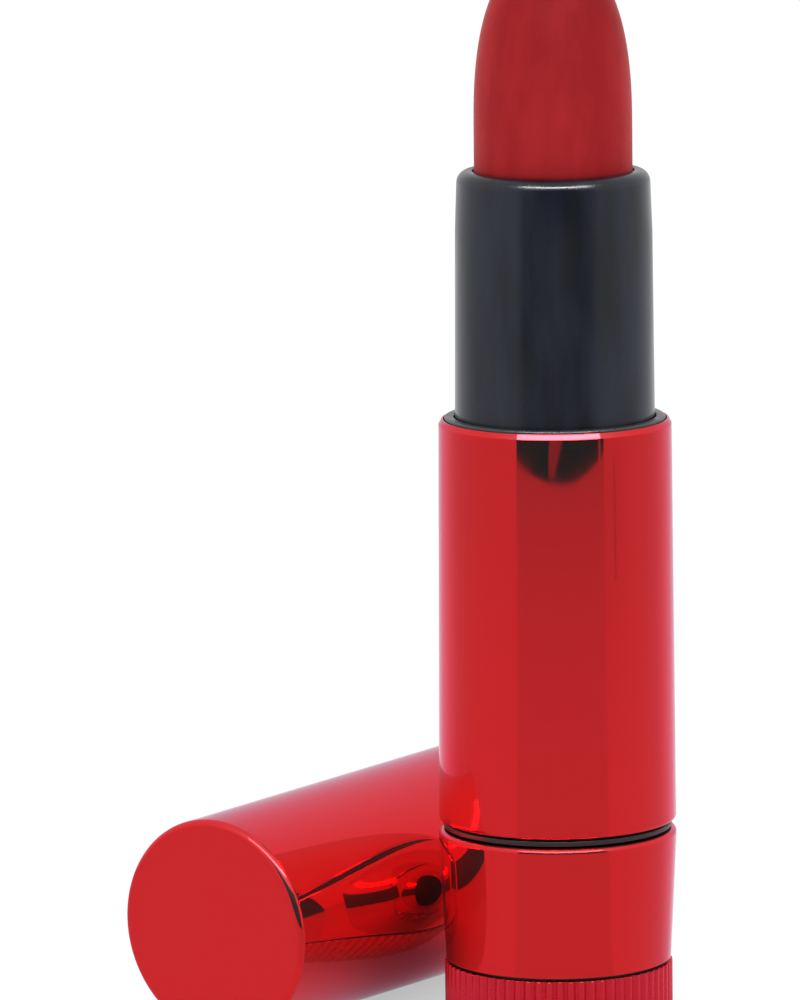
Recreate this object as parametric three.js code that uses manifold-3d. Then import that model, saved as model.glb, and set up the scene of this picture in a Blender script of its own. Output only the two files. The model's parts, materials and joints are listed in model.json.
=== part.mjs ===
// A swivel lipstick case that stands open on its foot, with its cap lying beside it.
// Millimetres, +Z up. The origin is the centre of the foot. The cap lies along Y, its open end at +Y.
import * as THREE from "three";
import { mergeVertices } from "three/addons/utils/BufferGeometryUtils.js";
import Module from "manifold-3d";

const wasm = await Module();
wasm.setup();

// ---- Driving dimensions ----
const SKIN_FACETS = 36; // round the shells, the collar and the lipstick
const INNER_FACETS = 32; // round the hidden pieces
const FILLET_STEPS = 2; // facets along a rounded edge
const FIT = 0.1; // radial gap between pieces on one axis
const SEAT = 0.3; // axial gap where one piece rests on another

const LIFT = 20.25; // travel of the lipstick
const LEAD = 13.5; // rise of the cam for each turn of the upper case

const FLUTES = 66; // knurling of the foot ring
const FLUTE_DEPTH = 0.24;

const RING_RADIUS = 9.35; // foot ring, over the ridges
const RING_TOP = 5.1;
const RING_FOOT_FILLET = 1.5;
const RING_LIP = { radius: 7.0, thickness: 1.0 };

const LOWER_SHELL = { bottom: 5.36, top: 16.15, bottomRadius: 9.24, topRadius: 9.76 };
const UPPER_SHELL = { bottom: 16.9, top: 50.0, bottomRadius: 9.72, topRadius: 9.49 };
const UPPER_BORE = 9.1;

const CORE_RADIUS = 8.75; // inner base, which carries the lower shell and the foot ring
const CORE_SPIGOT = 8.0; // its neck, on which the upper case turns
const CORE_SHOULDER = 16.0;
const CORE_TOP = 21.5;
const CORE_WEB = { bottom: 11.5, top: 13.0 }; // wall between the weight's cavity and the tube's socket
const CORE_CAVITY = 7.75;
const CORE_GROOVE = { bottom: 18.9, top: 19.9, radius: 7.5 };

const DISC = { plug: 6.8, flange: 7.6, top: 2.3 };
const LABEL = { radius: 5.95, thickness: 0.25 };
const LABEL_RECESS = { radius: 6.1, depth: 0.55 };
const WEIGHT = { radius: 7.6, bottom: 2.6, top: 11.2 };

const BEARING = { radius: 9.35, top: 16.75, spigotTop: 18.1 };

const LINER_BORE = 8.5;
const LINER_BOTTOM = 17.35;
const SHOULDER_TOP = 50.22; // the liner's end, which shows as a black shoulder
const COLLAR_SEAT = 48.5; // below this the liner is narrower than the collar's seat

const COLLAR_RADIUS = 8.13;
const COLLAR_WAIST = { radius: 8.0, height: 65.4 };
const COLLAR_TOP_RADIUS = 7.82;
const COLLAR_BORE = 7.55;
const COLLAR_BOTTOM = 34.5;
const COLLAR_TOP = 70.3;
const COLLAR_LIP_THICKNESS = 1.25;
const MOUTH_RADIUS = 6.56;

const TUBE_RADIUS = 6.95; // slotted tube
const TUBE_BORE = 6.55;
const TUBE_FLANGE = { bottom: 36.6, top: 37.2, radius: 7.42 };
const RETAINER_BOTTOM = 35.1;
const CAM = { bore: 7.05, radius: 7.45, bottom: 37.5, top: 66.0 };

const CUP = { bore: 5.9, radius: 6.35, bottom: 59.3, floor: 60.3, top: 68.5 };
const LUG = { radius: 0.8, height: 61.0, reach: 7.4, facets: 12 };
const STRAIGHT_SLOT_WIDTH = 1.9;
const HELIX_SLOT_WIDTH = 2.0;
const SLOT_END_ROOM = 0.25; // free length beyond the lug at each end of a slot

const LOWER_O_RING = { radius: CORE_SPIGOT, height: 19.4, section: 0.4 };
const UPPER_O_RING = { radius: (TUBE_RADIUS + COLLAR_BORE) / 2, height: 67.2, section: 0.24 };

const BULLET = { radius: 6.42, stub: 5.8, domeBase: 74.0, tip: 88.2, fullness: 2.4 };

const CAP_LENGTH = 43; // heights in the cap are measured from its closed end
const CAP_WALL = 0.45;
const CAP_END_THICKNESS = 0.9;
const CAP_CLOSED_RADIUS = 9.03;
const CAP_OPEN_RADIUS = 9.38;
const CAP_LINER = { wall: 0.5, bottom: 1.2, floor: 2.0, top: 39.5 };
const SNAP_RING_TOP = 42.4;
const CAP_PLACE = { x: -19.48, y: -21.3 }; // centre of the closed end

// ---- Finishes ----
const FINISHES = {
  redMirror: { color: "#c6222c", roughness: 0.12, metalness: 0.85 },
  redPlated: { color: "#c0283a", roughness: 0.3, metalness: 0.7 },
  blackGloss: { color: "#2b3038", roughness: 0.3, metalness: 0.1 },
  blackPlastic: { color: "#17181b", roughness: 0.45, metalness: 0 },
  whitePlastic: { color: "#d9d7d0", roughness: 0.5, metalness: 0 },
  naturalPlastic: { color: "#c9c4b6", roughness: 0.45, metalness: 0 },
  silicone: { color: "#8d8f92", roughness: 0.6, metalness: 0 },
  steel: { color: "#8f9296", roughness: 0.35, metalness: 1 },
  label: { color: "#e9e6df", roughness: 0.7, metalness: 0 },
  lipstick: { color: "#a62a2e", roughness: 0.55, metalness: 0 },
};

// ---- Outlines and solids ----

// Turns corners [radius, height, fillet] into points, with an arc at each corner that has a fillet.
function rounded(corners) {
  return corners.flatMap(([x, y, fillet = 0], i) => {
    const corner = new THREE.Vector2(x, y);
    if (fillet === 0) {
      return [corner];
    }
    const before = new THREE.Vector2(...corners.at(i - 1).slice(0, 2));
    const after = new THREE.Vector2(...corners[(i + 1) % corners.length].slice(0, 2));
    const back = before.sub(corner).normalize();
    const ahead = after.sub(corner).normalize();
    const halfAngle = Math.acos(back.dot(ahead)) / 2;
    const start = corner.clone().addScaledVector(back, fillet / Math.tan(halfAngle));
    const bisector = back.clone().add(ahead).normalize();
    const centre = corner.clone().addScaledVector(bisector, fillet / Math.sin(halfAngle));
    const sweep = Math.sign(back.cross(ahead)) * (Math.PI - 2 * halfAngle);
    return Array.from({ length: FILLET_STEPS + 1 }, (_, k) =>
      start.clone().rotateAround(centre, (-sweep * k) / FILLET_STEPS));
  });
}

// Twice the area inside an outline, positive when it runs anticlockwise.
function turningSense(points) {
  return points.reduce((sum, p, i) => sum + p.cross(points[(i + 1) % points.length]), 0);
}

// Turns an outline round Z. One that touches the axis at both ends makes a solid without a bore.
function turned(corners, facets) {
  const points = rounded(corners);
  if (turningSense(points) < 0) {
    points.reverse();
  }
  if (points[0].x > 0) {
    points.push(points[0].clone());
  }
  return new THREE.LatheGeometry(points, facets).rotateX(Math.PI / 2);
}

// The faces as a manifold solid, with shared corners and no faces of zero area.
function toSolid(geometry) {
  const bare = geometry.clone();
  bare.deleteAttribute("normal");
  bare.deleteAttribute("uv");
  const merged = mergeVertices(bare, 1e-4);
  const index = merged.index.array;
  const kept = [];
  for (let i = 0; i < index.length; i += 3) {
    const [a, b, c] = index.slice(i, i + 3);
    if (a !== b && b !== c && c !== a) {
      kept.push(a, b, c);
    }
  }
  const vertProperties = new Float32Array(merged.attributes.position.array);
  return new wasm.Manifold(new wasm.Mesh({ numProp: 3, vertProperties, triVerts: new Uint32Array(kept) }));
}

function toGeometry(solid) {
  const { vertProperties, triVerts } = solid.getMesh();
  const geometry = new THREE.BufferGeometry();
  geometry.setAttribute("position", new THREE.BufferAttribute(new Float32Array(vertProperties), 3));
  geometry.setIndex(new THREE.BufferAttribute(new Uint32Array(triVerts), 1));
  return geometry;
}

function piece(name, geometry, finish) {
  const mesh = new THREE.Mesh(geometry, new THREE.MeshStandardMaterial(FINISHES[finish]));
  mesh.name = name;
  return mesh;
}

// ---- Base: everything that stands still on the table ----

// Knurled ring that the fingers hold, with a lip below that traps the foot disc. The prism of ridges
// and grooves gives its side, and the blank its bore, its lip and its rounded foot.
function gripRing() {
  const blank = turned([
    [RING_LIP.radius, 0],
    [RING_RADIUS + FIT, 0, RING_FOOT_FILLET],
    [RING_RADIUS + FIT, RING_TOP],
    [CORE_RADIUS + FIT, RING_TOP],
    [CORE_RADIUS + FIT, RING_LIP.thickness],
    [RING_LIP.radius, RING_LIP.thickness],
  ], FLUTES / 2);
  const ridges = Array.from({ length: 2 * FLUTES }, (_, i) => {
    const angle = (i * Math.PI) / FLUTES;
    const radius = i % 2 === 0 ? RING_RADIUS : RING_RADIUS - FLUTE_DEPTH;
    return new THREE.Vector2(radius * Math.cos(angle), radius * Math.sin(angle));
  });
  const outline = new THREE.Shape(ridges);
  const fluted = new THREE.ExtrudeGeometry(outline, { depth: RING_TOP + 2, bevelEnabled: false });
  fluted.translate(0, 0, -1);
  return piece("grip_ring", toGeometry(toSolid(blank).intersect(toSolid(fluted))), "redPlated");
}

function baseShell() {
  const { bottom, top, bottomRadius, topRadius } = LOWER_SHELL;
  const bore = CORE_RADIUS + FIT;
  return piece("base_shell", turned([
    [bore, bottom],
    [bottomRadius, bottom, 0.12],
    [topRadius, top, 0.4],
    [bore, top],
  ], SKIN_FACETS), "redMirror");
}

// H-shaped moulding: the weight's cavity below, the slotted tube's socket above.
function baseCore() {
  return piece("base_core", turned([
    [0, CORE_WEB.bottom],
    [CORE_CAVITY, CORE_WEB.bottom],
    [CORE_CAVITY, RING_LIP.thickness + SEAT],
    [CORE_RADIUS, RING_LIP.thickness + SEAT],
    [CORE_RADIUS, CORE_SHOULDER],
    [CORE_SPIGOT, CORE_SHOULDER],
    [CORE_SPIGOT, CORE_GROOVE.bottom],
    [CORE_GROOVE.radius, CORE_GROOVE.bottom],
    [CORE_GROOVE.radius, CORE_GROOVE.top],
    [CORE_SPIGOT, CORE_GROOVE.top],
    [CORE_SPIGOT, CORE_TOP],
    [TUBE_RADIUS + FIT, CORE_TOP],
    [TUBE_RADIUS + FIT, CORE_WEB.top],
    [0, CORE_WEB.top],
  ], INNER_FACETS), "blackPlastic");
}

// Disc that closes the foot, with a shallow recess for the label.
function footDisc() {
  return piece("foot_disc", turned([
    [0, LABEL_RECESS.depth],
    [LABEL_RECESS.radius, LABEL_RECESS.depth],
    [LABEL_RECESS.radius, 0],
    [DISC.plug, 0],
    [DISC.plug, RING_LIP.thickness + SEAT],
    [DISC.flange, RING_LIP.thickness + SEAT],
    [DISC.flange, DISC.top],
    [0, DISC.top],
  ], INNER_FACETS), "blackPlastic");
}

function shadeLabel() {
  const { radius, thickness } = LABEL;
  const outline = [[0, 0], [radius, 0], [radius, thickness], [0, thickness]];
  return piece("shade_label", turned(outline, INNER_FACETS), "label");
}

function baseWeight() {
  return piece("base_weight", turned([
    [0, WEIGHT.bottom],
    [WEIGHT.radius, WEIGHT.bottom],
    [WEIGHT.radius, WEIGHT.top],
    [0, WEIGHT.top],
  ], INNER_FACETS), "steel");
}

// Tube with two straight slots that stop the carrier cup from turning. Its flange is trapped between
// the cam sleeve and the retaining ring, which holds the upper case on.
function innerTube() {
  const bottom = CORE_WEB.top + SEAT;
  const tube = toSolid(turned([
    [TUBE_BORE, bottom],
    [TUBE_RADIUS, bottom],
    [TUBE_RADIUS, TUBE_FLANGE.bottom],
    [TUBE_FLANGE.radius, TUBE_FLANGE.bottom],
    [TUBE_FLANGE.radius, TUBE_FLANGE.top],
    [TUBE_RADIUS, TUBE_FLANGE.top],
    [TUBE_RADIUS, COLLAR_TOP - COLLAR_LIP_THICKNESS - SEAT],
    [TUBE_BORE, COLLAR_TOP - COLLAR_LIP_THICKNESS - SEAT],
  ], INNER_FACETS));
  const slotLength = LIFT + 2 * (LUG.radius + SLOT_END_ROOM);
  const slot = new THREE.BoxGeometry(3 * TUBE_RADIUS, STRAIGHT_SLOT_WIDTH, slotLength);
  slot.translate(0, 0, LUG.height - LIFT / 2);
  return piece("inner_tube", toGeometry(tube.subtract(toSolid(slot))), "whitePlastic");
}

// Rubber ring of round section.
function oRing(name, { radius, height, section }) {
  const sides = 6;
  const corners = Array.from({ length: sides }, (_, i) => {
    const angle = (2 * Math.PI * i) / sides;
    return [radius + section * Math.cos(angle), height + section * Math.sin(angle)];
  });
  return piece(name, turned(corners, INNER_FACETS), "silicone");
}

// ---- Upper case: everything that turns on the base ----

function bodyShell() {
  const { bottom, top, bottomRadius, topRadius } = UPPER_SHELL;
  return piece("body_shell", turned([
    [UPPER_BORE, bottom],
    [bottomRadius, bottom, 0.35],
    [topRadius, top, 0.35],
    [UPPER_BORE, top],
  ], SKIN_FACETS), "redMirror");
}

// Sleeve inside the upper shell. Its top edge is the black shoulder round the collar.
function bodyLiner() {
  const wall = UPPER_BORE - FIT;
  return piece("body_liner", turned([
    [LINER_BORE, LINER_BOTTOM],
    [wall, LINER_BOTTOM],
    [wall, SHOULDER_TOP, 0.25],
    [COLLAR_RADIUS + FIT, SHOULDER_TOP],
    [COLLAR_RADIUS + FIT, COLLAR_SEAT],
    [LINER_BORE, COLLAR_SEAT],
  ], SKIN_FACETS), "blackPlastic");
}

// Black ring in the groove between the two shells, on which the upper case turns.
function bearingRing() {
  const bottom = CORE_SHOULDER + SEAT;
  return piece("bearing_ring", turned([
    [CORE_SPIGOT + FIT, bottom],
    [BEARING.radius, bottom],
    [BEARING.radius, BEARING.top],
    [LINER_BORE - FIT, BEARING.top],
    [LINER_BORE - FIT, BEARING.spigotTop],
    [CORE_SPIGOT + FIT, BEARING.spigotTop],
  ], INNER_FACETS), "blackPlastic");
}

// Mouth tube that the lipstick rises through, turned in over the slotted tube at the top.
function collar() {
  return piece("collar", turned([
    [COLLAR_BORE, COLLAR_BOTTOM],
    [COLLAR_RADIUS, COLLAR_BOTTOM],
    [COLLAR_RADIUS, SHOULDER_TOP],
    [COLLAR_WAIST.radius, COLLAR_WAIST.height],
    [COLLAR_TOP_RADIUS, COLLAR_TOP, 1.0],
    [MOUTH_RADIUS, COLLAR_TOP],
    [MOUTH_RADIUS, COLLAR_TOP - COLLAR_LIP_THICKNESS],
    [COLLAR_BORE, COLLAR_TOP - COLLAR_LIP_THICKNESS],
  ], SKIN_FACETS), "blackGloss");
}

// Bar bent round a right-handed helix: the space that one lug sweeps in the cam over the whole lift.
function helicalSlot(startAngle) {
  const steps = 30;
  const barDepth = 3 * (CAM.radius - CAM.bore);
  const meanRadius = (CAM.bore + CAM.radius) / 2;
  const slope = Math.atan(LEAD / (2 * Math.PI * meanRadius));
  const endRoom = (LUG.radius + SLOT_END_ROOM) / meanRadius;
  const highest = startAngle + endRoom;
  const lowest = startAngle - (2 * Math.PI * LIFT) / LEAD - endRoom;
  const bar = new THREE.BoxGeometry(barDepth, HELIX_SLOT_WIDTH, 1, 1, 1, steps);
  const corners = bar.attributes.position;
  for (let i = 0; i < corners.count; i += 1) {
    const along = THREE.MathUtils.lerp(highest, lowest, corners.getZ(i) + 0.5);
    const across = corners.getY(i);
    const radius = meanRadius + corners.getX(i);
    const angle = along - (across * Math.sin(slope)) / meanRadius;
    const rise = (LEAD * (along - startAngle)) / (2 * Math.PI);
    const height = LUG.height + rise + across * Math.cos(slope);
    corners.setXYZ(i, radius * Math.cos(angle), radius * Math.sin(angle), height);
  }
  return toSolid(bar);
}

function camSleeve() {
  const sleeve = toSolid(turned([
    [CAM.bore, CAM.bottom],
    [CAM.radius, CAM.bottom],
    [CAM.radius, CAM.top],
    [CAM.bore, CAM.top],
  ], INNER_FACETS));
  const cut = sleeve.subtract(helicalSlot(0)).subtract(helicalSlot(Math.PI));
  return piece("cam_sleeve", toGeometry(cut), "naturalPlastic");
}

// Ring fixed in the collar under the slotted tube's flange.
function retainingRing() {
  return piece("retaining_ring", turned([
    [CAM.bore, RETAINER_BOTTOM],
    [CAM.radius, RETAINER_BOTTOM],
    [CAM.radius, TUBE_FLANGE.bottom - SEAT],
    [CAM.bore, TUBE_FLANGE.bottom - SEAT],
  ], INNER_FACETS), "naturalPlastic");
}

// ---- Carrier: everything that rises and falls ----

function carrierCup() {
  const cup = toSolid(turned([
    [0, CUP.bottom],
    [CUP.radius, CUP.bottom],
    [CUP.radius, CUP.top],
    [CUP.bore, CUP.top],
    [CUP.bore, CUP.floor],
    [0, CUP.floor],
  ], INNER_FACETS));
  const root = (CUP.bore + CUP.radius) / 2;
  const lugs = [1, -1].map((side) => {
    const lug = new THREE.CylinderGeometry(LUG.radius, LUG.radius, LUG.reach - root, LUG.facets);
    lug.rotateZ(Math.PI / 2);
    lug.translate((side * (LUG.reach + root)) / 2, 0, LUG.height);
    return toSolid(lug);
  });
  return piece("carrier_cup", toGeometry(cup.add(lugs[0]).add(lugs[1])), "whitePlastic");
}

// The stick of lipstick: a stub cast in the cup, a straight barrel and a rounded dome.
function bullet() {
  const shoulder = CUP.top + SEAT;
  const domeHeight = BULLET.tip - BULLET.domeBase;
  const domeSteps = 9;
  const dome = Array.from({ length: domeSteps + 1 }, (_, i) => {
    const angle = (Math.PI / 2) * (i / domeSteps);
    const power = 2 / BULLET.fullness;
    return [
      i === domeSteps ? 0 : BULLET.radius * Math.cos(angle) ** power,
      BULLET.domeBase + domeHeight * Math.sin(angle) ** power,
    ];
  });
  return piece("bullet", turned([
    [0, CUP.floor + SEAT],
    [BULLET.stub, CUP.floor + SEAT],
    [BULLET.stub, shoulder],
    [BULLET.radius, shoulder],
    ...dome,
  ], SKIN_FACETS), "lipstick");
}

// ---- Cap ----

// Radius of the cap's outer face, which widens a little towards the open end.
function capRadius(height) {
  return THREE.MathUtils.lerp(CAP_CLOSED_RADIUS, CAP_OPEN_RADIUS, height / CAP_LENGTH);
}

function capShell() {
  return piece("cap_shell", turned([
    [0, 0],
    [capRadius(0), 0, 0.5],
    [capRadius(CAP_LENGTH), CAP_LENGTH, 0.12],
    [capRadius(CAP_LENGTH) - CAP_WALL, CAP_LENGTH],
    [capRadius(CAP_END_THICKNESS) - CAP_WALL, CAP_END_THICKNESS],
    [0, CAP_END_THICKNESS],
  ], SKIN_FACETS), "redMirror");
}

function capLiner() {
  const { wall, bottom, floor, top } = CAP_LINER;
  const outside = (height) => capRadius(height) - CAP_WALL - FIT;
  return piece("cap_liner", turned([
    [0, bottom],
    [outside(bottom), bottom],
    [outside(top), top],
    [outside(top) - wall, top],
    [outside(floor) - wall, floor],
    [0, floor],
  ], SKIN_FACETS), "blackPlastic");
}

// Ring in the cap's mouth that grips the collar.
function capSnapRing() {
  const bottom = CAP_LINER.top + SEAT;
  const bore = COLLAR_RADIUS + FIT;
  const outside = capRadius(bottom) - CAP_WALL - FIT;
  return piece("cap_snap_ring", turned([
    [bore, bottom],
    [outside, bottom],
    [outside, SNAP_RING_TOP],
    [bore, SNAP_RING_TOP, 0.25],
  ], SKIN_FACETS), "blackPlastic");
}

// ---- Assembly ----
const base = new THREE.Group();
base.add(gripRing(), baseShell(), baseCore(), footDisc(), shadeLabel(), baseWeight(), innerTube());
base.add(oRing("lower_o_ring", LOWER_O_RING));

const upper = new THREE.Group();
upper.add(bodyShell(), bodyLiner(), bearingRing(), collar(), camSleeve(), retainingRing());
upper.add(oRing("upper_o_ring", UPPER_O_RING));

const carrier = new THREE.Group();
carrier.add(carrierCup(), bullet());

// The cap lies on its tapered side, so its axis climbs a little towards the open end.
const cap = new THREE.Group();
cap.add(capShell(), capLiner(), capSnapRing());
const capClimb = Math.asin((CAP_OPEN_RADIUS - CAP_CLOSED_RADIUS) / CAP_LENGTH);
cap.rotation.x = capClimb - Math.PI / 2;
cap.position.set(CAP_PLACE.x, CAP_PLACE.y, CAP_CLOSED_RADIUS);

const lipstickCase = new THREE.Group();
lipstickCase.add(base, upper, carrier, cap);

export default lipstickCase;
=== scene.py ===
"""A swivel lipstick case, open and wound up, with its cap lying beside it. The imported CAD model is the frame.

Lengths in the outlines are millimetres, and MM turns them into the scene's metres. Every piece of the case is
turned round Z, and every piece of the cap round the cap's own axis, where heights run from its closed end.
"""
import json
import math
import bmesh
import bpy
from mathutils import Matrix, Vector

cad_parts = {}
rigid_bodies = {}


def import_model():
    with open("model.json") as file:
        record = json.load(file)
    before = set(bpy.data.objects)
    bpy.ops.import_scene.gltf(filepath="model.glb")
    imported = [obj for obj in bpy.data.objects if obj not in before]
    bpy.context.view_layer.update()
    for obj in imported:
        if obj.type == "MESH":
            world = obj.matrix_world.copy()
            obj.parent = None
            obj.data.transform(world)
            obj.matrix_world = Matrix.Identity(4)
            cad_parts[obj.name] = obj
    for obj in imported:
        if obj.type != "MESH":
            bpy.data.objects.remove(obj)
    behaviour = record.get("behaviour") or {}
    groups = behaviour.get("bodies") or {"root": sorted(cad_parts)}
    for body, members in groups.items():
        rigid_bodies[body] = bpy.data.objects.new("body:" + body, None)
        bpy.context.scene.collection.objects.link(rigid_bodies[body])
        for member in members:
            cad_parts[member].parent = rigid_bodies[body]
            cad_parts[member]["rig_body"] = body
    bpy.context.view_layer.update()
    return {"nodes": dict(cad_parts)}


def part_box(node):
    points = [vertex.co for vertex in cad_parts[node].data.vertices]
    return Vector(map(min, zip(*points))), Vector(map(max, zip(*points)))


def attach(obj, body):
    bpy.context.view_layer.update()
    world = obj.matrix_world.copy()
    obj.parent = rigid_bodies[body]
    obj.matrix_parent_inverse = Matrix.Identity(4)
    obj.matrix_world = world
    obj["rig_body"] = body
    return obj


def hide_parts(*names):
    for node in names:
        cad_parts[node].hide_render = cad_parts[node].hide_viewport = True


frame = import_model()

MM = 0.001
MICROMETRE = 1e-6
ROUND = 192  # facets round a turned piece
FLUTE_FACETS = 12  # facets across one flute
SECTION_FACETS = 24  # round a rubber ring's section
LUG_FACETS = 48
RUBBER_FLATNESS = 0.86  # a rubber ring's section: its height in proportion to its width
DOME_FACETS = 28  # from the stick's side to its tip
FILLET_STEP = math.radians(11)  # turn between two facets of a rounded edge
LONGEST_FACET = 4.0
SHARP_EDGE = math.radians(40)  # faces that meet more sharply than this are not shaded as one
SMOOTH = -1  # in an outline, in place of a fillet: a point of a smooth curve
ON_AXIS = 1e-9  # a radius below this is nought


def put(name, data):
    """A new object in the scene."""
    thing = bpy.data.objects.new(name, data)
    bpy.context.scene.collection.objects.link(thing)
    return thing


def finished_mesh(name, shape):
    """The mesh that a bmesh holds, which is freed."""
    mesh = bpy.data.meshes.new(name)
    shape.to_mesh(mesh)
    shape.free()
    return mesh


def reach(node):
    """Outer radius, lowest and highest point of a CAD node that stands on the Z axis."""
    low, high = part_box(node)
    return high.x / MM, low.z / MM, high.z / MM


# ---- Driving dimensions: from the frame where a node's box shows them, or else the CAD model's own ----
FIT = 0.1  # gap between pieces on one axis
FLUTES = 66

_, _, RING_TOP = reach("grip_ring")
RING_RADIUS = 9.35  # over the ridges
RING_LIP_RADIUS = 7.0
RING_LIP_TOP = 1.0
FLUTE_DEPTH = 0.26
FLUTE_NARROWING = 1.6  # 1 makes the grooves as wide as the ridges, and more makes them narrower

_, LOWER_BOTTOM, LOWER_TOP = reach("base_shell")
LOWER_BOTTOM_RADIUS = 9.24
LOWER_TOP_RADIUS = 9.76

DISC_RADIUS, _, DISC_TOP = reach("foot_disc")
PLUG_RADIUS = 6.8  # the part of the foot disc inside the ring's lip
PLUG_TOP = 1.3
LABEL_RADIUS = 5.95
LABEL_THICKNESS = 0.25
RECESS_RADIUS = 6.1  # the hollow under the foot disc that holds the label
RECESS_DEPTH = 0.55
WEIGHT_RADIUS, WEIGHT_BOTTOM, WEIGHT_TOP = reach("base_weight")

CORE_RADIUS, CORE_BOTTOM, CORE_TOP = reach("base_core")
CORE_SPIGOT = 8.0  # the neck on which the upper case turns
CORE_SHOULDER = 16.0
CORE_CAVITY = 7.75
WEB_BOTTOM = 11.5  # the wall between the weight's cavity and the tube's socket
WEB_TOP = 13.0
GROOVE_RADIUS = 7.5
GROOVE_BOTTOM = 18.9
GROOVE_TOP = 19.9

_, TUBE_BOTTOM, TUBE_TOP = reach("inner_tube")
TUBE_RADIUS = 6.95
TUBE_BORE = 6.55
FLANGE_RADIUS = 7.42
FLANGE_BOTTOM = 36.6
FLANGE_TOP = 37.2
SLOT_WIDTH = 1.9
SLOT_LENGTH = 22.35
SLOT_MIDDLE = 50.875

UPPER_BOTTOM_RADIUS, UPPER_BOTTOM, UPPER_TOP = reach("body_shell")
UPPER_TOP_RADIUS = 9.49
UPPER_BORE = 9.1
BEVEL_WIDTH = 0.24
BEVEL_HEIGHT = 0.42

BEARING_RADIUS, BEARING_BOTTOM, BEARING_TOP = reach("bearing_ring")
BEARING_STEP = 16.75

_, LINER_BOTTOM, SHOULDER_TOP = reach("body_liner")
LINER_BORE = 8.5
COLLAR_SEAT = 48.5  # from here up the liner's bore fits the collar

COLLAR_RADIUS, COLLAR_BOTTOM, COLLAR_TOP = reach("collar")
COLLAR_WAIST_RADIUS = 8.0
COLLAR_WAIST = 65.4
COLLAR_TOP_RADIUS = 7.82
COLLAR_BORE = 7.55
COLLAR_LIP_THICKNESS = 1.25
MOUTH_RADIUS = 6.56
MOUTH_BOTTOM = COLLAR_TOP - COLLAR_LIP_THICKNESS

_, RETAINER_BOTTOM, RETAINER_TOP = reach("retaining_ring")
CAM_RADIUS = 7.45
CAM_BORE = 7.05

_, CUP_BOTTOM, CUP_TOP = reach("carrier_cup")
CUP_RADIUS = 6.35
CUP_BORE = 5.9
CUP_FLOOR = 60.3
LUG_RADIUS = 0.8
LUG_HEIGHT = 61.0
LUG_REACH = 7.4  # from the axis to the lug's end
LUG_ROOT = (CUP_BORE + CUP_RADIUS) / 2

BULLET_RADIUS, BULLET_BOTTOM, BULLET_TIP = reach("bullet")
BULLET_STUB = 5.8
BULLET_SHOULDER = 68.8
DOME_BASE = 74.0
DOME_FULLNESS = 2.4  # 2 makes an ellipse, and more makes it fuller

CAP_LENGTH = 43.0
CAP_CLOSED_RADIUS = 9.03
CAP_OPEN_RADIUS = 9.38
CAP_WALL = 0.45
CAP_END_THICKNESS = 0.9
SLEEVE_BOTTOM = 1.2
SLEEVE_FLOOR = 2.0
SLEEVE_TOP = 39.5
SLEEVE_WALL = 0.5
GRIP_BOTTOM = 39.8
GRIP_TOP = 42.4
# The tapered cap rests on its side, so its axis climbs towards the open end.
CAP_CLIMB = math.asin((CAP_OPEN_RADIUS - CAP_CLOSED_RADIUS) / CAP_LENGTH)
CAP_CLOSED_END = Vector((-19.48, -21.3, CAP_CLOSED_RADIUS)) * MM
CAP_PLACE = Matrix.Translation(CAP_CLOSED_END) @ Matrix.Rotation(CAP_CLIMB - math.pi / 2, 4, "X")

# ---- The camera: a long lens a little above the case ----
VIEW_HEADING = math.radians(35.913)
VIEW_PITCH = math.radians(9.167)
VIEW_ROLL = math.radians(-0.573)
VIEW_FROM = (-0.012657, -0.663888, 0.150476)  # metres to the right, forward and up, seen along the heading
SENSOR_WIDTH = 36
LENS = 297.4


def make_camera():
    camera = put("camera", bpy.data.cameras.new("camera"))
    camera.data.sensor_width = SENSOR_WIDTH
    camera.data.lens = LENS
    place = Matrix.Rotation(VIEW_HEADING, 4, "Z") @ Matrix.Translation(VIEW_FROM)
    turn = Matrix.Rotation(math.pi / 2 - VIEW_PITCH, 4, "X") @ Matrix.Rotation(VIEW_ROLL, 4, "Z")
    camera.matrix_world = place @ turn
    bpy.context.scene.camera = camera


make_camera()


# ---- Turned solids ----
def rounded(corners):
    """The outline's points, each with the outward normals before and after it. Corners run anticlockwise.
    Each is (radius, height, fillet): the fillet rounds it, 0 leaves it sharp, and SMOOTH makes a curve."""
    points = []
    for i, (x, y, fillet) in enumerate(corners):
        corner = Vector((x, y))
        back = (Vector(corners[i - 1][:2]) - corner).normalized()
        ahead = (Vector(corners[(i + 1) % len(corners)][:2]) - corner).normalized()
        leaving = Vector((ahead.y, -ahead.x))
        arriving = Vector((-back.y, back.x))
        if x == 0:
            flat = Vector((0, -1 if i == 0 else 1))
            points.append((corner, flat, flat))
        elif fillet == SMOOTH:
            normal = (arriving + leaving).normalized()
            points.append((corner, normal, normal))
        elif fillet == 0:
            points.append((corner, arriving, leaving))
        else:
            half = back.angle(ahead) / 2
            centre = corner + (back + ahead).normalized() * (fillet / math.sin(half))
            turn = math.pi - 2 * half
            outside = 1 if arriving.cross(leaving) > 0 else -1
            steps = max(2, math.ceil(turn / FILLET_STEP))
            for k in range(steps + 1):
                normal = Matrix.Rotation(outside * turn * k / steps, 2) @ arriving
                points.append((centre + normal * fillet * outside, normal, normal))
    return points


def divided(points):
    """The outline with its long straight stretches split into shorter facets."""
    out = []
    for (a, before, after), (b, next_before, _) in zip(points, points[1:] + points[:1]):
        out.append((a, before, after))
        cuts = math.ceil((b - a).length / LONGEST_FACET)
        for k in range(1, cuts):
            normal = after.lerp(next_before, k / cuts)
            out.append((a.lerp(b, k / cuts), normal, normal))
    return out


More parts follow.
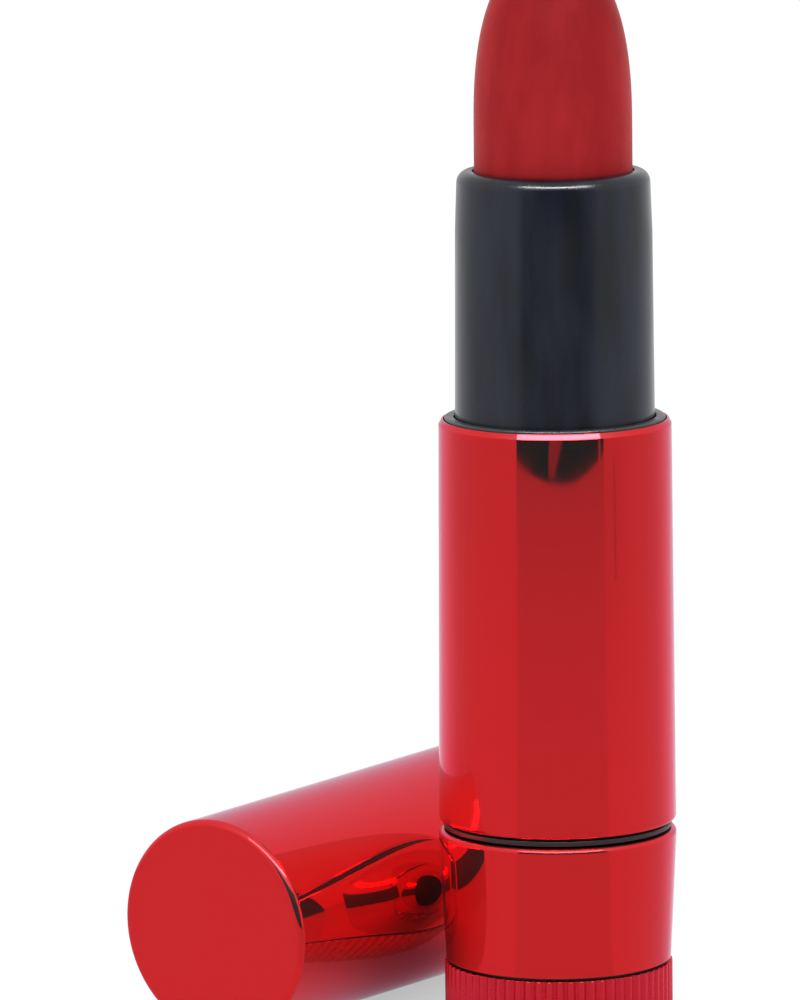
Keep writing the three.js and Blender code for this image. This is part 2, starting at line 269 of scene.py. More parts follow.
def turned(name, corners, facets=ROUND, radius_at=None, own_shading=True):
    """A closed mesh turned round Z. An outline that starts and ends on the axis makes a solid without a bore.
    radius_at(radius, angle) may press flutes into it. The outline's own normals shade it, unless it is
    fluted or own_shading is off: then its sharp edges do."""
    solid = corners[0][0] == 0
    outline = divided(rounded(corners))
    while solid and outline[-2][0].x < ON_AXIS:
        outline.pop()  # the way back down the axis
    vertices, rings, faces, loop_normals = [], [], [], []
    for point, _, _ in outline:
        if point.x < ON_AXIS:
            rings.append([len(vertices)] * facets)
            vertices.append((0, 0, point.y * MM))
            continue
        rings.append(list(range(len(vertices), len(vertices) + facets)))
        for i in range(facets):
            angle = 2 * math.pi * i / facets
            radius = radius_at(point.x, angle) if radius_at else point.x
            vertices.append((radius * MM * math.cos(angle), radius * MM * math.sin(angle), point.y * MM))
    for low in range(len(rings) - 1 if solid else len(rings)):
        high = (low + 1) % len(rings)
        below, above = outline[low][2], outline[high][1]
        for i in range(facets):
            j = (i + 1) % facets
            quad = {rings[low][i]: (below, i), rings[low][j]: (below, j)}
            quad |= {rings[high][j]: (above, j), rings[high][i]: (above, i)}
            faces.append(list(quad))
            for normal, step in quad.values():
                angle = 2 * math.pi * step / facets
                loop_normals.append((normal.x * math.cos(angle), normal.x * math.sin(angle), normal.y))
    mesh = bpy.data.meshes.new(name)
    mesh.from_pydata(vertices, [], faces)
    mesh.shade_smooth()
    if own_shading and not radius_at:
        mesh.normals_split_custom_set(loop_normals)
    else:
        mesh.set_sharp_from_angle(angle=SHARP_EDGE)
    return mesh


def combined(mesh, tools, operation):
    """A solid with other solids cut out of it (DIFFERENCE) or added to it (UNION)."""
    shapes = [put(part.name, part) for part in [mesh, *tools]]
    for tool in shapes[1:]:
        step = shapes[0].modifiers.new(tool.name, "BOOLEAN")
        step.object = tool
        step.operation = operation
        step.solver = "EXACT"
    whole = shapes[0].evaluated_get(bpy.context.evaluated_depsgraph_get())
    result = bpy.data.meshes.new_from_object(whole)
    for shape in shapes:
        bpy.data.objects.remove(shape)
    result.shade_smooth()
    result.set_sharp_from_angle(angle=SHARP_EDGE)
    result.materials.clear()
    return result


def solid_shape(name, make, place, **settings):
    """A box or a cylinder made by a bmesh operator and put in its place, in millimetres."""
    shape = bmesh.new()
    make(shape, matrix=Matrix.Scale(MM, 4) @ place, **settings)
    return finished_mesh(name, shape)


def add_piece(name, mesh, node, material, place=None):
    """Puts a finished mesh in the scene in place of a CAD node, on that node's body."""
    piece = put(name, mesh)
    if place is not None:
        mesh.transform(place)
    mesh.materials.append(material)
    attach(piece, frame["nodes"][node]["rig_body"])
    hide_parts(node)


# ---- Materials ----
PATTERN_LOW = 0.3  # a noise pattern runs from about here to PATTERN_HIGH
PATTERN_HIGH = 0.7


def new_material(name, colour, roughness, metallic=0.0, specular=0.5):
    """A new material, its shader and its node tree. Even values sit on the shader's own sockets."""
    material = bpy.data.materials.new(name)
    material.use_nodes = True
    shader = material.node_tree.nodes["Principled BSDF"]
    shader.inputs["Base Color"].default_value = (*colour, 1)
    shader.inputs["Roughness"].default_value = roughness
    shader.inputs["Metallic"].default_value = metallic
    shader.inputs["Specular IOR Level"].default_value = specular
    return material, shader, material.node_tree


def noise(tree, size, detail=3.0, stretch=(1, 1, 1)):
    """A noise pattern whose features are about size millimetres across, stretched along the axes."""
    place = tree.nodes.new("ShaderNodeTexCoord")
    scaling = tree.nodes.new("ShaderNodeMapping")
    scaling.inputs["Scale"].default_value = [1 / (size * MM * s) for s in stretch]
    texture = tree.nodes.new("ShaderNodeTexNoise")
    texture.inputs["Scale"].default_value = 1
    texture.inputs["Detail"].default_value = detail
    tree.links.new(place.outputs["Object"], scaling.inputs["Vector"])
    tree.links.new(scaling.outputs["Vector"], texture.inputs["Vector"])
    return texture.outputs["Fac"]


def spread(tree, value, low, high):
    """Maps a noise pattern onto low to high, gently at both ends."""
    scale = tree.nodes.new("ShaderNodeMapRange")
    scale.interpolation_type = "SMOOTHSTEP"
    scale.inputs["From Min"].default_value = PATTERN_LOW
    scale.inputs["From Max"].default_value = PATTERN_HIGH
    scale.inputs["To Min"].default_value = low
    scale.inputs["To Max"].default_value = high
    tree.links.new(value, scale.inputs["Value"])
    return scale.outputs["Result"]


def relief(tree, shader, value, height, below=None):
    """Raises the surface by a pattern, height micrometres from its lows to its highs. It may lie on another
    relief, below."""
    bump = tree.nodes.new("ShaderNodeBump")
    bump.inputs["Distance"].default_value = height * MICROMETRE
    tree.links.new(value, bump.inputs["Height"])
    if below is not None:
        tree.links.new(below, bump.inputs["Normal"])
    tree.links.new(bump.outputs["Normal"], shader.inputs["Normal"])
    return bump.outputs["Normal"]


def tinted(tree, shader, value, dark, light):
    """Varies the base colour between two colours by a pattern."""
    ramp = tree.nodes.new("ShaderNodeValToRGB")
    ramp.color_ramp.interpolation = "EASE"
    ramp.color_ramp.elements[0].position = PATTERN_LOW
    ramp.color_ramp.elements[0].color = (*dark, 1)
    ramp.color_ramp.elements[1].position = PATTERN_HIGH
    ramp.color_ramp.elements[1].color = (*light, 1)
    tree.links.new(value, ramp.inputs["Fac"])
    tree.links.new(ramp.outputs["Color"], shader.inputs["Base Color"])


PLATED_EDGE = (0.84, 0.66, 0.86, 1)  # the plating's colour where it is seen edge on
LACQUER_IOR = 1.33
LACQUER_ROUGHNESS = 0.5


def plated(name, colour, roughness, coat):
    """Vacuum-metallised plastic under clear lacquer."""
    material, shader, tree = new_material(name, colour, roughness, metallic=1.0)
    shader.inputs["Specular Tint"].default_value = PLATED_EDGE
    shader.inputs["Coat Weight"].default_value = coat
    shader.inputs["Coat Roughness"].default_value = LACQUER_ROUGHNESS
    shader.inputs["Coat IOR"].default_value = LACQUER_IOR
    return material, shader, tree


def red_mirror():
    """The shells' plating: a mirror with the lacquer's faint waviness."""
    material, shader, tree = plated("red_mirror", (0.88, 0.010, 0.015), 0.03, coat=0.9)
    tree.links.new(spread(tree, noise(tree, 5.0), 0.015, 0.035), shader.inputs["Roughness"])
    relief(tree, shader, noise(tree, 3.5, detail=1.0), 1.0)
    return material


def red_knurl():
    """The same plating on the knurled ring, a little softer."""
    material, shader, tree = plated("red_knurl", (0.82, 0.009, 0.033), 0.24, coat=1.0)
    tree.links.new(spread(tree, noise(tree, 1.2), 0.17, 0.30), shader.inputs["Roughness"])
    relief(tree, shader, noise(tree, 0.5), 3.0)
    return material


def collar_black():
    """Satin blue-black moulding, mottled along its length, with a fine grain on a faint waviness."""
    material, shader, tree = new_material("collar_black", (0.013, 0.014, 0.021), 0.25, specular=0.45)
    pattern = noise(tree, 2.0, detail=2.0, stretch=(1, 1, 5))
    tinted(tree, shader, pattern, (0.008, 0.009, 0.014), (0.013, 0.017, 0.032))
    patches = noise(tree, 4.0, detail=1.0, stretch=(1, 1, 3))
    tree.links.new(spread(tree, patches, 0.18, 0.31), shader.inputs["Roughness"])
    grain = relief(tree, shader, noise(tree, 0.35, detail=4.0), 0.8)
    relief(tree, shader, noise(tree, 5.0, detail=1.0, stretch=(1, 1, 3)), 6.0, below=grain)
    return material


def plain_plastic(name, colour, roughness, grain=0.4, height=2.0):
    """Moulded plastic with a fine spark-eroded grain."""
    material, shader, tree = new_material(name, colour, roughness)
    pattern = noise(tree, grain, detail=4.0)
    tree.links.new(spread(tree, pattern, roughness - 0.05, roughness + 0.06), shader.inputs["Roughness"])
    relief(tree, shader, pattern, height)
    return material


def lipstick_wax():
    """Matte red wax with a soft bloom, fine pores and faint lines along the stick."""
    material, shader, tree = new_material("lipstick_wax", (0.41, 0.018, 0.022), 0.6, specular=0.03)
    shader.inputs["Sheen Weight"].default_value = 0.4
    shader.inputs["Sheen Roughness"].default_value = 0.35
    shader.inputs["Sheen Tint"].default_value = (1.0, 0.55, 0.55, 1)
    shader.inputs["Subsurface Weight"].default_value = 0.1
    shader.inputs["Subsurface Radius"].default_value = (1.0, 0.2, 0.2)
    shader.inputs["Subsurface Scale"].default_value = 0.0008
    tinted(tree, shader, noise(tree, 3.0, stretch=(1, 1, 3)), (0.36, 0.015, 0.019), (0.46, 0.021, 0.025))
    tree.links.new(spread(tree, noise(tree, 0.6), 0.54, 0.66), shader.inputs["Roughness"])
    grain = relief(tree, shader, noise(tree, 0.25, detail=5.0), 5.0)
    relief(tree, shader, noise(tree, 2.5, detail=2.0, stretch=(1, 1, 5)), 10.0, below=grain)
    return material


def turned_steel():
    """Turned steel with fine lathe rings."""
    material, shader, tree = new_material("turned_steel", (0.45, 0.46, 0.48), 0.32, metallic=1.0)
    relief(tree, shader, noise(tree, 0.12, stretch=(40, 40, 1)), 3.0)
    return material


MIRROR = red_mirror()
KNURL = red_knurl()
COLLAR = collar_black()
# The shoulder's black plastic is lightened to grey: a painted reflection of the bright sky it catches edge on.
SHOULDER = plain_plastic("shoulder_grey_painted_reflection", (0.045, 0.046, 0.055), 0.30, grain=0.8, height=0.6)
BLACK = plain_plastic("moulded_black", (0.010, 0.010, 0.012), 0.38)
WHITE = plain_plastic("moulded_white", (0.69, 0.68, 0.63), 0.42)
NATURAL = plain_plastic("natural_acetal", (0.58, 0.55, 0.47), 0.38)
SILICONE = plain_plastic("grey_silicone", (0.26, 0.27, 0.28), 0.55)
LABEL = plain_plastic("label_film", (0.80, 0.78, 0.73), 0.5, grain=1.5, height=0.8)
WAX = lipstick_wax()
STEEL = turned_steel()


# ---- The base ----
def fluted_radius(radius, angle):
    """Presses rounded ridges and narrower grooves into the foot ring's side, and leaves its bore alone."""
    depth = FLUTE_DEPTH * (0.5 - 0.5 * math.cos(FLUTES * angle)) ** FLUTE_NARROWING
    return min(radius, RING_RADIUS - depth) if radius > CORE_RADIUS + 2 * FIT else radius


add_piece("foot_ring", turned("foot_ring", [
    (RING_LIP_RADIUS, 0, 0.12),
    (RING_RADIUS, 0, 1.5),
    (RING_RADIUS, RING_TOP, 0.06),
    (CORE_RADIUS + FIT, RING_TOP, 0.05),
    (CORE_RADIUS + FIT, RING_LIP_TOP, 0.1),
    (RING_LIP_RADIUS, RING_LIP_TOP, 0.1),
], FLUTES * FLUTE_FACETS, fluted_radius), "grip_ring", KNURL)

add_piece("lower_case", turned("lower_case", [
    (CORE_RADIUS + FIT, LOWER_BOTTOM, 0.08),
    (LOWER_BOTTOM_RADIUS, LOWER_BOTTOM, 0.06),
    (LOWER_TOP_RADIUS, LOWER_TOP, 0.42),
    (CORE_RADIUS + FIT, LOWER_TOP, 0.12),
]), "base_shell", MIRROR)

add_piece("foot_plug", turned("foot_plug", [
    (0, RECESS_DEPTH, 0),
    (RECESS_RADIUS, RECESS_DEPTH, 0.1),
    (RECESS_RADIUS, 0, 0.1),
    (PLUG_RADIUS, 0, 0.1),
    (PLUG_RADIUS, PLUG_TOP, 0.1),
    (DISC_RADIUS, PLUG_TOP, 0.1),
    (DISC_RADIUS, DISC_TOP, 0.2),
    (0, DISC_TOP, 0),
]), "foot_disc", BLACK)

add_piece("foot_label", turned("foot_label", [
    (0, 0, 0),
    (LABEL_RADIUS, 0, 0.08),
    (LABEL_RADIUS, LABEL_THICKNESS, 0.08),
    (0, LABEL_THICKNESS, 0),
]), "shade_label", LABEL)

add_piece("inner_base", turned("inner_base", [
    (0, WEB_BOTTOM, 0),
    (CORE_CAVITY, WEB_BOTTOM, 0.2),
    (CORE_CAVITY, CORE_BOTTOM, 0.1),
    (CORE_RADIUS, CORE_BOTTOM, 0.15),
    (CORE_RADIUS, CORE_SHOULDER, 0.15),
    (CORE_SPIGOT, CORE_SHOULDER, 0.1),
    (CORE_SPIGOT, GROOVE_BOTTOM, 0.08),
    (GROOVE_RADIUS, GROOVE_BOTTOM, 0.08),
    (GROOVE_RADIUS, GROOVE_TOP, 0.08),
    (CORE_SPIGOT, GROOVE_TOP, 0.08),
    (CORE_SPIGOT, CORE_TOP, 0.2),
    (TUBE_RADIUS + FIT, CORE_TOP, 0.2),
    (TUBE_RADIUS + FIT, WEB_TOP, 0.1),
    (0, WEB_TOP, 0),
]), "base_core", BLACK)

add_piece("foot_weight", turned("foot_weight", [
    (0, WEIGHT_BOTTOM, 0),
    (WEIGHT_RADIUS, WEIGHT_BOTTOM, 0.3),
    (WEIGHT_RADIUS, WEIGHT_TOP, 0.3),
    (0, WEIGHT_TOP, 0),
]), "base_weight", STEEL)

# One bar across the tube cuts both slots.
SLOT_SIZE = Matrix.Diagonal((3 * TUBE_RADIUS, SLOT_WIDTH, SLOT_LENGTH, 1))
SLOT_PLACE = Matrix.Translation((0, 0, SLOT_MIDDLE)) @ SLOT_SIZE
SLOT_BAR = solid_shape("slots", bmesh.ops.create_cube, SLOT_PLACE, size=1)
add_piece("slotted_tube", combined(turned("slotted_tube", [
    (TUBE_BORE, TUBE_BOTTOM, 0.08),
    (TUBE_RADIUS, TUBE_BOTTOM, 0.08),
    (TUBE_RADIUS, FLANGE_BOTTOM, 0.05),
    (FLANGE_RADIUS, FLANGE_BOTTOM, 0.08),
    (FLANGE_RADIUS, FLANGE_TOP, 0.08),
    (TUBE_RADIUS, FLANGE_TOP, 0.05),
    (TUBE_RADIUS, TUBE_TOP, 0.1),
    (TUBE_BORE, TUBE_TOP, 0.1),
], own_shading=False), [SLOT_BAR], "DIFFERENCE"), "inner_tube", WHITE)


def rubber_ring(name, node):
    """A ring of round section, a little flattened to lie inside the CAD model's six-sided one."""
    outer, bottom, top = reach(node)
    half_width = (top - bottom) / math.sqrt(3)
    half_height = half_width * RUBBER_FLATNESS
    outline = []
    for k in range(SECTION_FACETS):
        turn = 2 * math.pi * k / SECTION_FACETS
        radius = outer - half_width + half_width * math.cos(turn)
        outline.append((radius, (bottom + top) / 2 + half_height * math.sin(turn), SMOOTH))
    add_piece(name, turned(name, outline), node, SILICONE)


rubber_ring("neck_ring", "lower_o_ring")


# ---- The upper case ----
add_piece("upper_case", turned("upper_case", [
    (UPPER_BORE, UPPER_BOTTOM, 0.1),
    (UPPER_BOTTOM_RADIUS, UPPER_BOTTOM, 0.36),
    (UPPER_TOP_RADIUS, UPPER_TOP - BEVEL_HEIGHT, 0.12),
    (UPPER_TOP_RADIUS - BEVEL_WIDTH, UPPER_TOP, 0.06),
    (UPPER_BORE, UPPER_TOP, 0.02),
]), "body_shell", MIRROR)

add_piece("shoulder_sleeve", turned("shoulder_sleeve", [
    (LINER_BORE, LINER_BOTTOM, 0.1),
    (UPPER_BORE - FIT, LINER_BOTTOM, 0.1),
    (UPPER_BORE - FIT, SHOULDER_TOP, 0.2),
    (COLLAR_RADIUS + FIT, SHOULDER_TOP, 0.08),
    (COLLAR_RADIUS + FIT, COLLAR_SEAT, 0.1),
    (LINER_BORE, COLLAR_SEAT, 0.1),
]), "body_liner", SHOULDER)

add_piece("groove_ring", turned("groove_ring", [
    (CORE_SPIGOT + FIT, BEARING_BOTTOM, 0.08),
    (BEARING_RADIUS, BEARING_BOTTOM, 0.12),
    (BEARING_RADIUS, BEARING_STEP, 0.12),
    (LINER_BORE - FIT, BEARING_STEP, 0.1),
    (LINER_BORE - FIT, BEARING_TOP, 0.08),
    (CORE_SPIGOT + FIT, BEARING_TOP, 0.08),
]), "bearing_ring", BLACK)

add_piece("mouth_collar", turned("mouth_collar", [
    (COLLAR_BORE, COLLAR_BOTTOM, 0.12),
    (COLLAR_RADIUS, COLLAR_BOTTOM, 0.12),
    (COLLAR_RADIUS, SHOULDER_TOP, SMOOTH),
    (COLLAR_WAIST_RADIUS, COLLAR_WAIST, SMOOTH),
    (COLLAR_TOP_RADIUS, COLLAR_TOP, 1.0),
    (MOUTH_RADIUS, COLLAR_TOP, 0.12),
    (MOUTH_RADIUS, MOUTH_BOTTOM, 0.1),
    (COLLAR_BORE, MOUTH_BOTTOM, 0.2),
]), "collar", COLLAR)

rubber_ring("mouth_ring", "upper_o_ring")

add_piece("keeper", turned("keeper", [
    (CAM_BORE, RETAINER_BOTTOM, 0.08),
    (CAM_RADIUS, RETAINER_BOTTOM, 0.08),
    (CAM_RADIUS, RETAINER_TOP, 0.08),
    (CAM_BORE, RETAINER_TOP, 0.08),
]), "retaining_ring", NATURAL)


# ---- The lipstick and the cup that carries it ----
def lug(side):
    """A round peg that runs in the slots, on one side of the cup or the other."""
    middle = side * (LUG_ROOT + LUG_REACH) / 2
    place = Matrix.Translation((middle, 0, LUG_HEIGHT)) @ Matrix.Rotation(math.pi / 2, 4, "Y")
    return solid_shape("lug", bmesh.ops.create_cone, place, cap_ends=True, segments=LUG_FACETS,
                       radius1=LUG_RADIUS, radius2=LUG_RADIUS, depth=LUG_REACH - LUG_ROOT)


add_piece("cup", combined(turned("cup", [
    (0, CUP_BOTTOM, 0),
    (CUP_RADIUS, CUP_BOTTOM, 0.2),
    (CUP_RADIUS, CUP_TOP, 0.1),
    (CUP_BORE, CUP_TOP, 0.1),
    (CUP_BORE, CUP_FLOOR, 0.3),
    (0, CUP_FLOOR, 0),
], own_shading=False), [lug(1), lug(-1)], "UNION"), "carrier_cup", WHITE)


def dome():
    """The stick's rounded end: a curve a little fuller than an ellipse, from the side up to the tip."""
    height = BULLET_TIP - DOME_BASE
    power = 2 / DOME_FULLNESS
    for i in range(DOME_FACETS):
        angle = math.pi / 2 * i / DOME_FACETS
        radius = BULLET_RADIUS * math.cos(angle) ** power
        yield radius, DOME_BASE + height * math.sin(angle) ** power, SMOOTH


add_piece("lipstick", turned("lipstick", [
    (0, BULLET_BOTTOM, 0),
    (BULLET_STUB, BULLET_BOTTOM, 0.3),
    (BULLET_STUB, BULLET_SHOULDER, 0.1),
    (BULLET_RADIUS, BULLET_SHOULDER, 0.3),
    *dome(),
    (0, BULLET_TIP, 0),
]), "bullet", WAX)


# ---- The cap ----
def cap_radius(height):
    """The tapered cap's outer radius."""
    return CAP_CLOSED_RADIUS + (CAP_OPEN_RADIUS - CAP_CLOSED_RADIUS) * height / CAP_LENGTH


add_piece("cap_case", turned("cap_case", [
    (0, 0, 0),
    (CAP_CLOSED_RADIUS, 0, 0.55),
    (CAP_OPEN_RADIUS, CAP_LENGTH, 0.2),
    (CAP_OPEN_RADIUS - CAP_WALL, CAP_LENGTH, 0.15),
    (cap_radius(CAP_END_THICKNESS) - CAP_WALL, CAP_END_THICKNESS, 0.3),
    (0, CAP_END_THICKNESS, 0),
]), "cap_shell", MIRROR, CAP_PLACE)

SLEEVE_BOTTOM_RADIUS = cap_radius(SLEEVE_BOTTOM) - CAP_WALL - FIT
SLEEVE_TOP_RADIUS = cap_radius(SLEEVE_TOP) - CAP_WALL - FIT
add_piece("cap_sleeve", turned("cap_sleeve", [
    (0, SLEEVE_BOTTOM, 0),
    (SLEEVE_BOTTOM_RADIUS, SLEEVE_BOTTOM, 0.3),
    (SLEEVE_TOP_RADIUS, SLEEVE_TOP, 0.1),
    (SLEEVE_TOP_RADIUS - SLEEVE_WALL, SLEEVE_TOP, 0.15),
    (SLEEVE_BOTTOM_RADIUS - SLEEVE_WALL, SLEEVE_FLOOR, 0.3),
    (0, SLEEVE_FLOOR, 0),
]), "cap_liner", BLACK, CAP_PLACE)

GRIP_RADIUS = cap_radius(GRIP_BOTTOM) - CAP_WALL - FIT
add_piece("cap_grip", turned("cap_grip", [
    (COLLAR_RADIUS + FIT, GRIP_BOTTOM, 0.2),
    (GRIP_RADIUS, GRIP_BOTTOM, 0.1),
    (GRIP_RADIUS, GRIP_TOP, 0.1),
    (COLLAR_RADIUS + FIT, GRIP_TOP, 0.25),
]), "cap_snap_ring", BLACK, CAP_PLACE)

# ---- The cam sleeve, which is never in sight, keeps the CAD model's shape and gets its finish ----
cam = frame["nodes"]["cam_sleeve"]
cam.data.materials.clear()
cam.data.materials.append(NATURAL)


# ---- Floor, sky and cards ----
SKY_LIGHT = 0.78
FLOOR_REACH = 4000  # from the case to the floor's edge
FLOOR_LIGHT = 1.03
# the floor's glow where it is most closed in: painted shadow
PAINTED_SHADOW_LIGHT = 0.47
OPEN_FLOOR = 0.7  # share of open sky above which the floor is as light as anywhere
SHADOW_REACH = 30


def make_sky():
    """Even white light from all round, and colours shown as they are."""
    world = bpy.data.worlds.new("studio")
    world.use_nodes = True
    world.node_tree.nodes["Background"].inputs["Color"].default_value = (1, 1, 1, 1)
    world.node_tree.nodes["Background"].inputs["Strength"].default_value = SKY_LIGHT
    bpy.context.scene.world = world
    bpy.context.scene.view_settings.view_transform = "Standard"


def make_floor():
    """A pale glowing floor with a painted shadow: ambient occlusion dims its glow where it is closed in. The
    mirror finishes see the cards in its place.
    """
    shape = bmesh.new()
    bmesh.ops.create_grid(shape, x_segments=1, y_segments=1, size=FLOOR_REACH * MM)
    floor = put("floor", finished_mesh("floor", shape))
    material, shader, tree = new_material("floor_glow_painted_shadow", (0, 0, 0), 0.6, specular=0.0)
    # Painted shadow: the floor takes no light, and ambient occlusion dims its glow.
    openness = tree.nodes.new("ShaderNodeAmbientOcclusion")
    openness.inputs["Distance"].default_value = SHADOW_REACH * MM
    shade = tree.nodes.new("ShaderNodeMapRange")
    shade.inputs["From Max"].default_value = OPEN_FLOOR
    shade.inputs["To Min"].default_value = PAINTED_SHADOW_LIGHT
    shade.inputs["To Max"].default_value = FLOOR_LIGHT
    tree.links.new(openness.outputs["AO"], shade.inputs["Value"])
    tree.links.new(shade.outputs["Result"], shader.inputs["Emission Strength"])
    shader.inputs["Emission Color"].default_value = (1, 1, 1, 1)
    floor.data.materials.append(material)
    floor.visible_glossy = False


def glow_material(name):
    """Shines as brightly as its mesh's light attribute says: painted light for the cards, which are no lamps.
    """
    material = bpy.data.materials.new(name)
    material.use_nodes = True
    tree = material.node_tree
    tree.nodes.clear()
    reading = tree.nodes.new("ShaderNodeAttribute")
    reading.attribute_name = "light"
    glow = tree.nodes.new("ShaderNodeEmission")
    out = tree.nodes.new("ShaderNodeOutputMaterial")
    tree.links.new(reading.outputs["Color"], glow.inputs["Color"])
    tree.links.new(glow.outputs["Emission"], out.inputs["Surface"])
    return material


CARD_GLOW = glow_material("card_glow")


def make_card(name, rows):
    """A glowing card, no lamp, that shows only in reflections: a painted reflection. Each row is a list of
    (right, forward, up, light): the place as the camera's heading has it, from the foot of the case, and how
    bright the card is there."""
    shape = bmesh.new()
    light = shape.verts.layers.float_color.new("light")
    heading = Matrix.Rotation(VIEW_HEADING, 3, "Z")
    made = []
    for row in rows:
        made.append([])
        for right, forward, up, brightness in row:
            vertex = shape.verts.new(heading @ Vector((right, forward, up)) * MM)
            vertex[light] = (brightness, brightness, brightness, 1)
            made[-1].append(vertex)
    for row, after in zip(made, made[1:]):
        for k in range(len(row) - 1):
            shape.faces.new((row[k], row[k + 1], after[k + 1], after[k]))
    card = put(name, finished_mesh(name, shape))
    card.data.materials.append(CARD_GLOW)
    card.visible_camera = False
    card.visible_diffuse = False
    card.visible_shadow = False
    card.visible_transmission = False


def grid(start, stop, step):
    """Evenly spaced numbers that start at start and end at the step nearest to stop."""
    return [start + step * k for k in range(round((stop - start) / step) + 1)]


def fan(azimuth, distances, height, light_at):
    """A card's row of points at one azimuth, in degrees to the right of the camera's direction."""
    turn = math.radians(azimuth)
    return [(d * math.sin(turn), -d * math.cos(turn), height, light_at(azimuth, d)) for d in distances]


def even(light):
    """The same light all over a card."""
    return lambda azimuth, distance: light


# The floor card paints the floor's reflection, with painted light and shade and a painted shadow in the nook.
# Azimuths are in degrees to the right of the camera's direction.
FLOOR_CARD_UP = 0.1
NEAR_LIGHT = 0.66
FAR_LOSS = 0.075
RIGHT_LOSS = 0.07  # painted shade: what is lost besides just right of the band
RIGHT_WIDTH = 25
LOSS_DISTANCE = 283  # where the whole loss has come
BACK_GAIN = 0.5  # painted light: how much brighter the floor is behind the case than in front
BACK_START = 110  # the azimuth, on either side, where that gain begins
BACK_WIDTH = 40
BACK_REACH = 400
NOOK = Vector((-10, 2))  # X and Y of the painted shadow between the case and the cap
NOOK_SIZE = 13
NOOK_SHADE = 0.8

# The band card paints the reflection of a strip of floor from the case towards the camera, in painted shade
BAND_UP = 0.2
BAND_LEFT = -39
BAND_RIGHT = 47
BAND_NEAR = 12
BAND_FAR = 900
BAND_LIGHT = 0.575
BAND_LOSS = 0.13
BAND_CURVE = 2.2
BAND_LEAST = 0.25

# The dark card, which lies on the band, paints a black reflection. Its near edge is a curve.
DARK_UP = 0.4
DARK_NEAREST = 323
DARK_MIDDLE = 5  # the nearest point's azimuth
DARK_HALF_WIDTH = 43
DARK_RISE = {"left": 17, "right": 24}  # how much further away each end is
DARK_CURVE = {"left": 1.7, "right": 2}
DARK_DEPTH = 90
STREAK_LIGHT = 0.21
STREAK_FOOT = 330
STREAK_LENGTH = 34  # from its foot to where it is upright and full wide
STREAK_LEAN = 5  # how far left of the middle its foot is
STREAK_HALF_WIDTH = 3
STREAK_GROWTH = 3.5
LINE_LIGHT = 0.3
LINE_LEFT = 41.5
LINE_RIGHT = 43.5

# The seam card paints a thin dim line beside the band into the reflections
SEAM_UP = 0.3
SEAM_LEFT = 57
SEAM_RIGHT = 59.5
SEAM_NEAR = 245
SEAM_FAR = 340
SEAM_LIGHT = 0.41

# The upright card on the camera's side paints a dark reflection, and the glint card, a glowing strip above the
# camera that is no lamp, paints highlights
SCREEN_DISTANCE = 420
SCREEN_TOP = 250
SCREEN_LIGHT = 0.02
# painted highlight: the glint card's glow, seen only in glossy surfaces
GLINT = 38.0
GLINT_LEFT = -48
GLINT_RIGHT = 54
GLINT_NEAR = 770
GLINT_FAR = 1000
GLINT_UP = 1000


def floor_light(azimuth, distance):
    """The floor as the reflections show it, with painted light and shade: a little dimmer far away, dimmer
    again just right of the band, brighter behind the case, and a painted shadow darkens the nook between the
    case and the cap."""
    right_of_band = math.exp(-((azimuth - BAND_RIGHT) / RIGHT_WIDTH) ** 2)
    turn = VIEW_HEADING - math.pi / 2 + math.radians(azimuth)
    nook = (Vector((math.cos(turn), math.sin(turn))) * distance - NOOK).length / NOOK_SIZE
    light = NEAR_LIGHT - (FAR_LOSS + RIGHT_LOSS * right_of_band) * min(1, distance / LOSS_DISTANCE) ** 2
    if distance < BACK_REACH:
        light *= 1 + BACK_GAIN * min(1, max(0, abs(azimuth) - BACK_START) / BACK_WIDTH)
    return light * (1 - NOOK_SHADE * math.exp(-nook ** 2))


def band_light(_, distance):
    """The band's painted shade is deeper away from the case."""
    return max(BAND_LEAST, BAND_LIGHT - BAND_LOSS * (distance / LOSS_DISTANCE) ** BAND_CURVE)


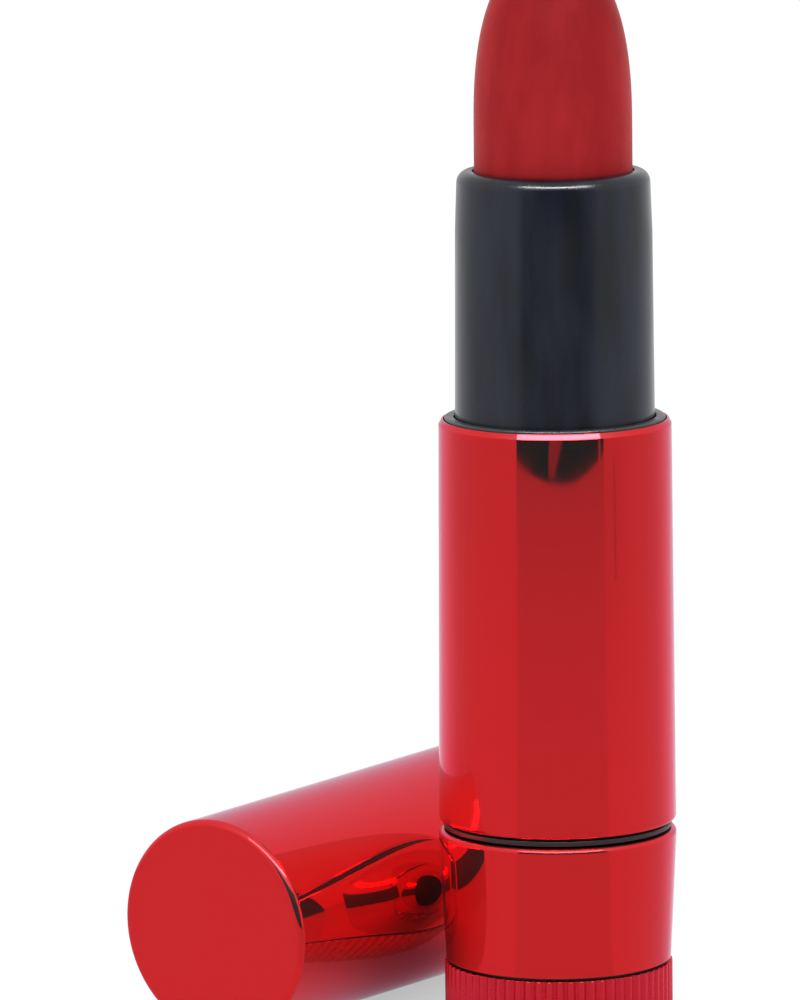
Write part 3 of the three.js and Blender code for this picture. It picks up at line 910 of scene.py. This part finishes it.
def dark_edge(azimuth):
    """How near the dark card comes: a shallow curve with its nearest point right of the middle."""
    off = (azimuth - DARK_MIDDLE) / DARK_HALF_WIDTH
    side = "right" if off > 0 else "left"
    return DARK_NEAREST + DARK_RISE[side] * abs(off) ** DARK_CURVE[side]


def dark_light(azimuth, distance):
    """Painted reflection: black, with a dim streak near its middle that widens away from the case, and a line
    at its right.
    """
    along = (distance - STREAK_FOOT) / STREAK_LENGTH
    off = abs(azimuth + STREAK_LEAN * max(0, 1 - along))
    if along > 0 and off < STREAK_HALF_WIDTH + STREAK_GROWTH * min(1, along):
        return STREAK_LIGHT
    return LINE_LIGHT if LINE_LEFT < azimuth < LINE_RIGHT else 0.0


def dark_row(azimuth):
    """The dark card's points at one azimuth, from its near edge outwards."""
    edge = dark_edge(azimuth)
    return fan(azimuth, grid(edge, edge + DARK_DEPTH, 1), DARK_UP, dark_light)


def screen_row(azimuth):
    """The upright card's foot and top at one azimuth."""
    return [fan(azimuth, [SCREEN_DISTANCE], height, even(SCREEN_LIGHT))[0] for height in (0, SCREEN_TOP)]


make_sky()
make_floor()
FLOOR_ROW = grid(0, 40, 2) + grid(60, 300, 20) + [FLOOR_REACH]
make_card("floor_card", [fan(a, FLOOR_ROW, FLOOR_CARD_UP, floor_light) for a in grid(-180, 180, 4)])
BAND_ROW = grid(BAND_NEAR, BAND_FAR, 12)
make_card("band_card", [fan(a, BAND_ROW, BAND_UP, band_light) for a in grid(BAND_LEFT, BAND_RIGHT, 2)])
make_card("dark_card", [dark_row(a) for a in grid(BAND_LEFT, BAND_RIGHT, 1)])
SEAM_ROW = [SEAM_NEAR, SEAM_FAR]
make_card("seam_card", [fan(a, SEAM_ROW, SEAM_UP, even(SEAM_LIGHT)) for a in (SEAM_LEFT, SEAM_RIGHT)])
make_card("camera_side", [screen_row(a) for a in grid(BAND_LEFT, BAND_RIGHT, 2)])
GLINT_ROW = [GLINT_NEAR, GLINT_FAR]
make_card("glint_card", [fan(a, GLINT_ROW, GLINT_UP, even(GLINT)) for a in grid(GLINT_LEFT, GLINT_RIGHT, 6)])
